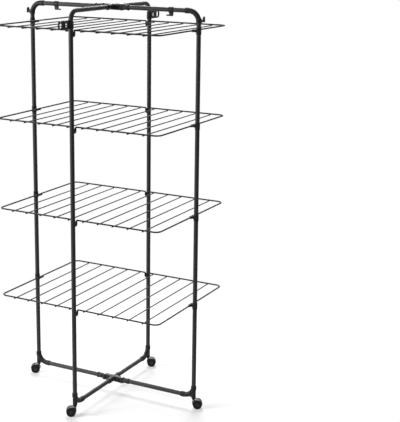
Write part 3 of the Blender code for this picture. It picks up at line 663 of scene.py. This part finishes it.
# %% Hinge pins
pin_radius, pin_head, pin_head_tall, pin_edge, head_edge = 0.0029, 0.0054, 0.0015, 0.0002, 0.0007
head = hub_half + seat_gap
pin_shapes = [drum(pin_radius, -head, head, upwards, edge=pin_edge)]
for sign in (-1, 1):
    low, high = sorted((sign * head, sign * (head + pin_head_tall)))
    pin_shapes.append(drum(pin_head, low, high, upwards, edge=head_edge))
pin_mesh = together("hinge_pin_fine", pin_shapes, pin_zinc)
for level, height in (("top", top_bar), ("base", base_bar)):
    for side, sign in signs.items():
        dress(f"hinge_pin_{level}_{side}", pin_mesh, stand(sign * hinge_reach, 0, height))
print("a pin has", len(pin_mesh.polygons), "faces")

# %% [markdown]
# ## The wings
#
# A wing is a rail bent to a U with five wires resistance-welded under it. A weld squeezes the two rods into each
# other and leaves a small bead, and the wires' ends stick out a little past the rail. The rail's two ends step down
# and turn outward to be the pivots. An Array modifier could repeat the wires, but a loop can give each one its beads
# too, and the eight wings then share one mesh.

# %% The bent rail
rail, rail_coat, rail_sides = 0.0032, 0.0001, 14
rail_to_side_post, rail_to_centre_post, pivot_depth = 0.018, 0.020, 0.0113
crank_bend, corner_bend = 0.004, 0.025
outer_rail = side_reach - rail_to_side_post
wing_reach = outer_rail - wing_pivot
wing_half = centre_reach - rail_to_centre_post
pivot_tip = centre_reach - pivot_depth
near_side = [(0, -pivot_tip, 0), (0, -wing_half, 0), (0, -wing_half, crank), (wing_reach, -wing_half, crank)]
far_side = [(x, -y, z) for x, y, z in reversed(near_side)]
bends = [crank_bend, crank_bend, corner_bend]
rail_path = path(near_side + far_side, bends + bends[::-1], math.radians(10))
wing_shapes = [rod(rail_path, rail + rail_coat, rail_sides)]
print("the rail's path has", len(rail_path), "points")

# %% Wires, welds and the eight wings
bead_reach, bead_rise = 0.0034, 0.0016


def weld_bead(x, y, z):
    """A small flattened bead of weld."""
    bead = bmesh.new()
    squash = Matrix.Translation((x, y, z)) @ Matrix.Diagonal((bead_reach, bead_reach, bead_rise, 1.0))
    bmesh.ops.create_icosphere(bead, subdivisions=2, radius=1.0, matrix=squash)
    mesh = bpy.data.meshes.new("bead")
    bead.to_mesh(mesh)
    bead.free()
    return mesh


wire, wire_coating, wire_edge, wires, wire_stub, weld_sink = 0.0022, 0.0002, 0.0005, 5, 0.004, 0.0004
wire_height = crank - rail - wire + weld_sink
pitch = outer_rail / (wires + 0.5)
reach = wing_half + wire_stub
for i in range(wires):
    x = (i + 0.5) * pitch - wing_pivot
    centre = (x, 0, wire_height)
    wing_shapes.append(drum(wire + wire_coating, -reach, reach, along_y, centre, wire_edge, rail_sides))
    wing_shapes += [weld_bead(x, y, crank - rail) for y in (-wing_half, wing_half)]
wing_mesh = together("wing_fine", wing_shapes, wire_coat)
for side, sign in signs.items():
    turn = 0.0 if sign > 0 else half_turn
    for i, height in enumerate(wing_axis_heights):
        dress(f"wing_{side}_{i + 1}", wing_mesh, stand(sign * wing_pivot, 0, height, turn))
print("each wing has", len(wing_mesh.polygons), "faces and wires", round(pitch, 4), "m apart")

# %% [markdown]
# ## The small fittings on the posts
#
# A round bracket inside each centre post carries the pivots of two wings, each in a small boss of its own. A clip on
# each side post has a ring, a cradle for the outer rail and a gusset below. Near the top, a slotted plate on each
# centre post takes coat hangers: its edge is thickened to a rim, and so is its inner slot. A little hook hangs
# under each side frame's bar. The plate stays crisp, as three filled outlines, and the others are melted, because
# their corners are soft on the real airer.

# %% Pivot brackets
neck_radius, neck_from, disc_radius, disc_from = 0.0108, 0.0026, 0.0122, 0.0095
neck_edge, disc_edge, pivot_edge = 0.001, 0.0012, 0.0004
pivot_wall, pivot_back, pivot_proud = 0.0012, 0.003, 0.0003
face = rail_to_centre_post - rail - running_gap
bracket_shapes = [
    drum(neck_radius, neck_from, face - disc_edge, along_y, edge=neck_edge),
    drum(disc_radius, disc_from, face, along_y, edge=disc_edge),
]
for sign in (-1, 1):
    pivot = (sign * wing_pivot, 0, 0)
    low, high = face - pivot_back, face + pivot_proud
    bracket_shapes.append(drum(rail + pivot_wall, low, high, along_y, pivot, pivot_edge))
bracket_mesh = moulded("wing_bracket_fine", bracket_shapes, fitting_plastic, voxel=0.00065)
for i, height in enumerate(wing_axis_heights):
    for end, (sign, facing) in ends.items():
        dress(f"wing_bracket_{end}_{i + 1}", bracket_mesh, stand(0, sign * centre_reach, height, facing))
print("the bracket's skin has", len(bracket_mesh.polygons), "faces")

# %% Rail clips
groove = rail + seat_gap
cradle_wall, cradle_half, cradle_lip, cradle_edge = 0.003, 0.017, 0.004, 0.0008
clip_wall, clip_low, clip_high, clip_edge = 0.0012, -0.0165, 0.0115, 0.0005
gusset_low, gusset_sink, gusset_thick, gusset_edge = -0.0095, 0.001, 0.008, 0.0004
rail_at = outer_rail - side_reach
inside = rail_at - groove - cradle_wall
under = -groove - cradle_wall
gusset_top = under + gusset_sink
gusset = [(-socket, gusset_low), (-socket, -groove), (rail_at, gusset_top), (inside + gusset_sink, gusset_top)]
clip_shapes = [
    drum(socket + clip_wall, clip_low, clip_high, upwards, edge=clip_edge),
    block((inside, -cradle_half, under), (rail_at + groove, cradle_half, -groove), cradle_edge),
    block((inside, -cradle_half, under), (inside + cradle_wall, cradle_half, cradle_lip), cradle_edge),
    plate([gusset], gusset_thick, gusset_edge),
]
clip_mesh = moulded("rail_clip_fine", clip_shapes, fitting_plastic, voxel=0.00065)
for i, height in enumerate(tier_heights):
    for side, hinge in hinges.items():
        dress(f"rail_clip_{side}_{i + 1}", clip_mesh, hinge @ stand(leaf, 0, height))
print("the clip's skin has", len(clip_mesh.polygons), "faces")

# %% Outlines for the hanger holder
slot_half_width, slot_half_height = 0.008, 0.0115
holder_tall, holder_nose, holder_length = 0.017, 0.0119, 0.0855


def slot_outline(centre, wider=0.0, steps=10):
    """An upright slot with round ends."""
    half_width, half_height = slot_half_width + wider, slot_half_height + wider
    points = []
    for sign in (1, -1):
        for i in range(steps + 1):
            angle = math.pi * i / steps + (0.0 if sign > 0 else math.pi)
            up = sign * (half_height - half_width) + half_width * math.sin(angle)
            points.append((centre + half_width * math.cos(angle), up))
    return points


def nosed_outline(start, inset, steps=20):
    """The plate's outline, drawn in by the inset. Its end is half an ellipse."""
    tall, nose, length = holder_tall - inset, holder_nose - inset, holder_length - inset
    points = [(start, -tall), (length - nose, -tall)]
    for i in range(1, steps):
        angle = math.pi * i / steps - quarter
        points.append((length - nose + nose * math.cos(angle), tall * math.sin(angle)))
    return points + [(length - nose, tall), (start, tall)]


print("the holder's outline has", len(nosed_outline(0.0, 0.0)), "points")

# %% Hanger holders
inner_slot, outer_slot, slot_rim_width, slot_play = 0.033, 0.071, 0.0022, 0.0006
core_inset, rim_start, rim_inset = 0.0005, 0.004, 0.0022
core_thick, rim_thick, slot_rim_thick, core_edge, rim_edge = 0.004, 0.0074, 0.0070, 0.0008, 0.0006
holder_drop, band_low, band_high, band_edge = 0.053, -0.0175, 0.012, 0.001
core = [nosed_outline(0.0, core_inset), slot_outline(inner_slot, slot_play), slot_outline(outer_slot)]
rim = [nosed_outline(0.0, 0.0), nosed_outline(rim_start, rim_inset)]
slot_rim = [slot_outline(inner_slot, slot_rim_width), slot_outline(inner_slot)]
holder_shapes = [
    plate(core, core_thick, core_edge),
    plate(rim, rim_thick, rim_edge),
    plate(slot_rim, slot_rim_thick, rim_edge),
    drum(fitting, band_low, band_high, upwards, edge=band_edge),
]
holder_mesh = together("hanger_holder_fine", holder_shapes, fitting_plastic)
for end, (sign, facing) in ends.items():
    place = stand(0, sign * centre_reach, top_bar - holder_drop, facing - quarter)
    dress("hanger_holder_" + end, holder_mesh, place)
print("the holder has", len(holder_mesh.polygons), "faces")

# %% Bar hooks
wide, deep, toe, toe_thick, hook_from_post = 0.010, 0.026, 0.010, 0.006, 0.128
blade_thick, blade_edge, sleeve_edge = 0.010, 0.0012, 0.001
hook_outline = [
    (wide * 0.95, -socket), (wide * 0.8, -deep), (-wide - toe, -deep), (-wide - toe, -deep + toe_thick),
    (-wide * 0.7, -deep + toe_thick), (-wide * 0.9, -socket),
]
hook_shapes = [
    plate([hook_outline], blade_thick, blade_edge),
    drum(fitting, -wide, wide, along_x, edge=sleeve_edge),
]
hook_mesh = moulded("bar_hook_fine", hook_shapes, fitting_plastic, voxel=0.0007)
for side, hinge in hinges.items():
    dress("bar_hook_" + side, hook_mesh, hinge @ stand(leaf - hook_from_post, 0, top_bar))
print("the hook's skin has", len(hook_mesh.polygons), "faces")

# %% [markdown]
# ## The castors
#
# A furniture castor has two wheels on one axle, a web between them and a hood over both, which turns about a
# steel stem, whose stepped ring shows bright at the top. The hood is a half ring melted into the web and the neck.
# A wheel could be a bevelled cylinder, but its face has relief. So it is turned, with the Screw modifier, from half
# its section: a hub cap in the middle, a dished face with five short ribs, and a tread with soft shoulders.

# %% Castor hood
swivel = Vector(joints["castor_back_swivel"]["pos_m"])
axle = Vector(joints["castor_back_roll"]["pos_m"])
trail = math.hypot(axle.x - swivel.x, axle.y - swivel.y)
rest_angle = math.atan2(axle.y - swivel.y, axle.x - swivel.x)
web_half, wheel_wide, hood_gap, hood_wall = 0.004, 0.0105, 0.0011, 0.0014
wheel_in = web_half + running_gap
wheel_out = wheel_in + wheel_wide
hood_in = axle_height + hood_gap
hood_out = hood_in + hood_wall
flange_top = base_bar - boss_drop - running_gap


def half_circle(radius, steps=36):
    """The upper half of a circle about the axle, from the front to the back."""
    angles = [math.pi * i / steps for i in range(steps + 1)]
    return [(trail + radius * math.cos(a), axle_height + radius * math.sin(a)) for a in angles]


neck_foot, neck_sink, neck_edge, hood_edge = 0.026, 0.002, 0.001, 0.0004
axle_boss, flange_radius, flange_thick = 0.0065, 0.0060, 0.003
hood_shapes = [
    plate([half_circle(hood_out) + half_circle(hood_in)[::-1]], wheel_out * 2, hood_edge),
    plate([half_circle(hood_in)], web_half * 2, hood_edge),
    block((-web_half, -web_half, neck_foot), (trail, web_half, flange_top - neck_sink), neck_edge),
    drum(axle_boss, -web_half, web_half, along_y, (trail, 0, axle_height)),
    drum(flange_radius, flange_top - flange_thick, flange_top, upwards),
]
hood_mesh = moulded("castor_hood_fine", hood_shapes, hood_plastic, voxel=0.0006)
print("the hood's skin has", len(hood_mesh.polygons), "faces")

# %% Wheels
def wheel_half(sign, profile, steps=64):
    """One wheel, turned from its profile about the axle, on one side of the web."""
    line = bpy.data.meshes.new("wheel_line")
    edges = [(i, i + 1) for i in range(len(profile) - 1)]
    line.from_pydata([(radius, 0.0, sign * out) for radius, out in profile], edges, [])
    item = linked("wheel", line)
    spin = item.modifiers.new("spin", "SCREW")
    spin.steps = spin.render_steps = steps
    spin.use_merge_vertices = True
    spin.merge_threshold = 0.00002
    spin.use_normal_flip = sign < 0
    item.rotation_euler = (-quarter, 0, 0)
    return baked(item, "wheel")


rib_half, rib_from, rib_to, rib_root, rib_top, rib_edge = 0.0009, 0.0084, 0.0164, 0.0013, 0.0001, 0.0003


def wheel_rib(sign, turn):
    """A short raised rib on the wheel's face."""
    low, high = sorted((sign * (wheel_out - rib_root), sign * (wheel_out - rib_top)))
    rib = block((-rib_half, low, rib_from), (rib_half, high, rib_to), rib_edge)
    rib.transform(Matrix.Rotation(turn, 4, "Y"))
    return rib


tread, axle_radius, rib_count, first_rib = axle_height, 0.0025, 5, 0.5
outer_face = [
    (0.0, 0.0), (0.0032, 0.0), (0.0038, -0.0004), (0.0076, -0.0004), (0.0084, 0.0), (0.0090, -0.0008),
    (tread - 0.0040, -0.0011), (tread - 0.0034, -0.0006), (tread - 0.0014, -0.0006),
    (tread - 0.0004, -0.0011), (tread - 0.00005, -0.0022), (tread, -0.0035),
]
inner_face = [(tread, 0.0022), (tread - 0.0003, 0.0008), (tread - 0.0010, 0.0), (axle_radius, 0.0)]
profile = [(radius, wheel_out + out) for radius, out in outer_face]
profile += [(radius, wheel_in + out) for radius, out in inner_face]
profile.append((axle_radius, 0.0))
wheel_shapes = [wheel_half(sign, profile) for sign in (1, -1)]
for sign in (1, -1):
    wheel_shapes += [wheel_rib(sign, math.tau * i / rib_count + first_rib) for i in range(rib_count)]
wheels_mesh = together("castor_wheels_fine", wheel_shapes, wheel_coat)
print("a pair of wheels has", len(wheels_mesh.polygons), "faces")

# %% Stem rings and the four castors
ring_radius, step_radius, ring_edge = 0.0075, 0.0068, 0.0003
ring_span, step_span = (0.0015, 0.0002), (0.0028, 0.0011)
ring_shapes = [
    drum(ring_radius, flange_top - ring_span[0], flange_top - ring_span[1], upwards, edge=ring_edge),
    drum(step_radius, flange_top - step_span[0], flange_top - step_span[1], upwards, edge=ring_edge),
]
stem_ring = together("stem_ring_fine", ring_shapes, pin_zinc)
castors = {"right": (1, 0), "left": (-1, 0), "front": (0, -1), "back": (0, 1)}
for label, (x, y) in castors.items():
    turn = rest_angle if x + y > 0 else rest_angle + half_turn
    spot = stand(x * side_reach, y * centre_reach, 0, turn)
    dress("castor_hood_" + label, hood_mesh, spot)
    dress("castor_wheels_" + label, wheels_mesh, spot @ Matrix.Translation((trail, 0, axle_height)))
    ring_piece = linked("stem_ring_" + label, stem_ring)
    ring_piece.matrix_world = spot
    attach(ring_piece, body_of_node["castor_hood_" + label])
print("castors at", list(castors), "turned", round(math.degrees(rest_angle)), "degrees")

# %% [markdown]
# ## Floor and light
#
# The photograph is a cut-out on white with the faintest shadow. A pale floor catches the shadow. It glows a little,
# but only for the camera and for mirror and glass rays, so it fades into the white background and adds no light to
# the airer. More light would whiten it too, but it would wash out the dark coat. A broad soft lamp on the left makes
# the pale half of each post, and its right half stays dark, because the world is dim for all but the rays that see
# it. A second lamp, high up behind, draws the pale line along the bars, and a third one straight behind shows the
# shapes from the other side too.

# %% The floor's material
def watched(recipe):
    """1 for the rays that see the background: from the camera, in a reflection or through glass."""
    rays = recipe.node("ShaderNodeLightPath")
    seen = rays["Is Camera Ray"] + rays["Is Glossy Ray"] + rays["Is Transmission Ray"]
    return recipe.node("ShaderNodeClamp", None, {"Value": seen})["Result"]


def glow(recipe, shade):
    """Light that only the rays above see. A shade of 1 is white."""
    sockets = {"Color": grey(shade), "Strength": watched(recipe)}
    return recipe.node("ShaderNodeEmission", None, sockets)["Emission"]


def pale_floor(name, shade, lift, fade_from, fade_to):
    """A floor that takes the shadow, and fades to plain white between two distances from the middle."""
    recipe = Recipe(bpy.data.materials.new(name))
    span = 2.0
    far = recipe.ramp(recipe.length(recipe.place()) * (1 / span), fade_from / span, fade_to / span)
    lit = recipe.node("ShaderNodeBsdfDiffuse", None, {"Color": grey(shade)})["BSDF"]
    near = recipe.node("ShaderNodeAddShader", None, {0: lit, 1: glow(recipe, lift)})["Shader"]
    shader = recipe.node("ShaderNodeMixShader", None, {0: far, 1: near, 2: glow(recipe, 1.0)})["Shader"]
    recipe.node("ShaderNodeOutputMaterial", None, {"Surface": shader})
    return recipe.owner


floor_material = pale_floor("pale_floor", shade=0.66, lift=0.36, fade_from=0.6, fade_to=1.4)
print("made", floor_material.name)

# %% The floor and the world
floor_radius, floor_drop = 6.0, 0.0005
ground = bmesh.new()
bmesh.ops.create_circle(ground, cap_ends=True, segments=96, radius=floor_radius)
ground_mesh = bpy.data.meshes.new("floor")
ground.to_mesh(ground_mesh)
ground.free()
ground_mesh.materials.append(floor_material)
floor = linked("floor", ground_mesh)
floor.location.z = -floor_drop
floor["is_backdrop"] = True

dim = 0.14
world = Recipe(bpy.data.worlds.new("studio"))
level = dim + (1 - dim) * watched(world)
sky = world.node("ShaderNodeBackground", None, {"Color": grey(1.0), "Strength": level})["Background"]
world.node("ShaderNodeOutputWorld", None, {"Surface": sky})
bpy.context.scene.world = world.owner
print("the floor is", ground_mesh.name, "and the world is", world.owner.name)

# %% Lamps
middle = Vector((0, 0, 0.9))


def soft_lamp(name, place, size, power):
    """A rectangular lamp that faces the middle of the airer."""
    data = bpy.data.lights.new(name, "AREA")
    data.shape = "RECTANGLE"
    data.size, data.size_y = size
    data.energy = power
    lamp = linked(name, data)
    lamp.location = place
    lamp.rotation_euler = (middle - Vector(place)).to_track_quat("-Z", "Y").to_euler()


soft_lamp("key", place=(-3.2, -3.0, 2.0), size=(2.0, 2.8), power=260)
soft_lamp("top", place=(-1.0, 2.2, 3.8), size=(2.0, 1.6), power=130)
soft_lamp("back", place=(-2.0, 3.6, 1.7), size=(3.0, 2.4), power=120)
print("lamps:", [lamp.name for lamp in bpy.data.lights])

# %% [markdown]
# ## The camera
#
# The photograph was taken from a little above the middle, from the front right, with a long lens. The straight
# edges of the posts, the rails and the bars fix where the camera stood. Its upright shift keeps the tower in
# the frame without tilting the camera, as an architect's camera does.

# %% Camera
picture_height, level_row = 422, 173.2
camera = linked("camera", bpy.data.cameras.new("camera"))
camera.data.sensor_fit = "AUTO"
camera.data.sensor_width = 36.0
camera.data.lens = 92.4251
camera.data.shift_y = (level_row - picture_height / 2) / picture_height
camera_place = (2.42067, -3.91042, 2.03596)
across = (0.889071, 0.457539, 0.014518)
upright = (-0.112468, 0.187582, 0.975789)
backward = (0.443739, -0.869178, 0.218232)
camera_turn = Matrix((across, upright, backward)).transposed().to_4x4()
camera.matrix_world = Matrix.Translation(camera_place) @ camera_turn
bpy.context.scene.camera = camera
bpy.context.scene.view_settings.view_transform = "Standard"
print("lens", round(camera.data.lens, 1), "mm, shift", round(camera.data.shift_y, 4))

# %% Measure, check and finish
low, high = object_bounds()
room_below = [round(gap * 1000, 2) for gap in low - cad_low]
room_above = [round(gap * 1000, 2) for gap in cad_high - high]
print("inside the model's box by", room_below, "and", room_above, "mm")
